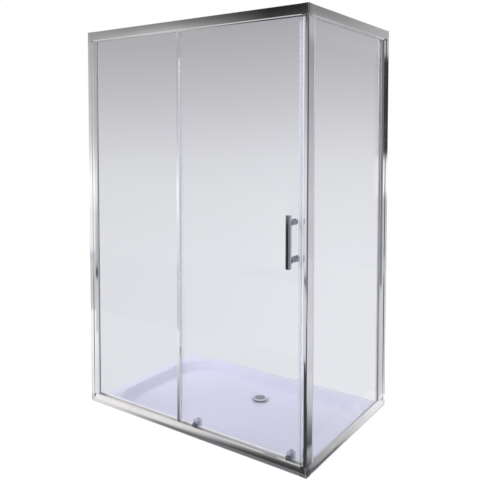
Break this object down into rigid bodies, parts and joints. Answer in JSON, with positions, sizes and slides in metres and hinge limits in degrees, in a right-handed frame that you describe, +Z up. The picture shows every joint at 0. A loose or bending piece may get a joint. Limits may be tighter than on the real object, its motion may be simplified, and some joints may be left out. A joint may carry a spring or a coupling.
{
  "type": "shower enclosure with sliding door",
  "caption": "Corner shower enclosure: tray, fixed and return glass in bright rails, and a glass door that slides on rollers behind the fixed pane.",
  "frame": {"origin": "middle of the tray's underside", "axes": "+X along the front towards the corner post, +Y from the front to the rear wall, +Z up"},
  "size_m": [1.2, 0.835, 1.9],
  "materials": {
    "acrylic": "glossy white, moulded",
    "bright_aluminium": "bright polished",
    "cap_chrome": "chrome plated",
    "pane_glass": "clear toughened",
    "grey_gasket": "soft satin",
    "clear_seal": "translucent vinyl",
    "magnet_vinyl": "satin",
    "chrome": "polished",
    "steel": "plain",
    "nylon": "satin",
    "roller_plastic": "satin chrome look",
    "black_rubber": "matt",
    "black_plastic": "matt"
  },
  "bodies": {
    "enclosure": {"shower_tray": "acrylic", "waste_flange": "chrome", "waste_washers": "black_rubber", "waste_back_nut": "black_plastic", "left_wall_channel": "bright_aluminium", "left_adjusting_profile": "bright_aluminium", "rear_wall_channel": "bright_aluminium", "rear_adjusting_profile": "bright_aluminium", "profile_lock_screws": "steel", "front_top_rail": "bright_aluminium", "front_bottom_rail": "bright_aluminium", "return_top_rail": "bright_aluminium", "return_bottom_rail": "bright_aluminium", "corner_post": "bright_aluminium", "top_corner_cap": "cap_chrome", "bottom_corner_cap": "cap_chrome", "fixed_glass": "pane_glass", "fixed_glass_gaskets": "grey_gasket", "return_glass": "pane_glass", "return_glass_gaskets": "grey_gasket", "groove_filler_strips": "grey_gasket", "fixed_edge_profile": "bright_aluminium", "post_magnet_strip": "magnet_vinyl", "rail_bump_stops": "black_rubber"},
    "door": {"door_glass": "pane_glass", "door_trailing_profile": "clear_seal", "door_magnet_seal": "clear_seal", "handle_bar": "chrome", "handle_posts": "chrome", "handle_washers": "clear_seal", "handle_studs": "steel", "handle_inner_knob": "chrome", "handle_inner_cap": "chrome", "bottom_roller_knobs": "chrome", "top_roller_bracket_left": "roller_plastic", "top_roller_axle_left": "steel", "bottom_roller_housing_left": "roller_plastic", "bottom_roller_spring_left": "steel", "top_roller_bracket_right": "roller_plastic", "top_roller_axle_right": "steel", "bottom_roller_housing_right": "roller_plastic", "bottom_roller_spring_right": "steel"},
    "cover": {"waste_cover": "chrome"},
    "top_wheel_left": {"top_roller_wheel_left": "nylon"},
    "carriage_left": {"bottom_roller_carriage_left": "roller_plastic", "bottom_roller_axle_left": "steel"},
    "bottom_wheel_left": {"bottom_roller_wheel_left": "nylon"},
    "top_wheel_right": {"top_roller_wheel_right": "nylon"},
    "carriage_right": {"bottom_roller_carriage_right": "roller_plastic", "bottom_roller_axle_right": "steel"},
    "bottom_wheel_right": {"bottom_roller_wheel_right": "nylon"}
  },
  "joints": [
    {"name": "door_slide", "type": "slide", "parent": "enclosure", "child": "door", "axis": [-1, 0, 0], "range_m": [0, 0.48]},
    {"name": "cover_lift", "type": "slide", "parent": "enclosure", "child": "cover", "axis": [0, 0, 1], "range_m": [0, 0.04]},
    {"name": "top_wheel_spin_left", "type": "hinge", "parent": "door", "child": "top_wheel_left", "pos_m": [0.036, -0.3597, 1.8758], "axis": [0, 1, 0], "range_deg": [-3300, 0]},
    {"name": "release_left", "type": "slide", "parent": "door", "child": "carriage_left", "axis": [0, 0, -1], "range_m": [0, 0.004], "stiffness_N_per_m": 1000, "springref_m": -0.003, "deforming": ["bottom_roller_spring_left"]},
    {"name": "bottom_wheel_spin_left", "type": "hinge", "parent": "carriage_left", "child": "bottom_wheel_left", "pos_m": [0.036, -0.3528, 0.1182], "axis": [0, 1, 0], "range_deg": [0, 3700]},
    {"name": "top_wheel_spin_right", "type": "hinge", "parent": "door", "child": "top_wheel_right", "pos_m": [0.507, -0.3597, 1.8758], "axis": [0, 1, 0], "range_deg": [-3300, 0]},
    {"name": "release_right", "type": "slide", "parent": "door", "child": "carriage_right", "axis": [0, 0, -1], "range_m": [0, 0.004], "stiffness_N_per_m": 1000, "springref_m": -0.003, "deforming": ["bottom_roller_spring_right"]},
    {"name": "bottom_wheel_spin_right", "type": "hinge", "parent": "carriage_right", "child": "bottom_wheel_right", "pos_m": [0.507, -0.3528, 0.1182], "axis": [0, 1, 0], "range_deg": [0, 3700]}
  ],
  "couplings": [
    {"joint": "top_wheel_spin_left", "follows": "door_slide", "rad_per_m": -117.65},
    {"joint": "bottom_wheel_spin_left", "follows": "door_slide", "rad_per_m": 133.33},
    {"joint": "top_wheel_spin_right", "follows": "door_slide", "rad_per_m": -117.65},
    {"joint": "bottom_wheel_spin_right", "follows": "door_slide", "rad_per_m": 133.33}
  ]
}
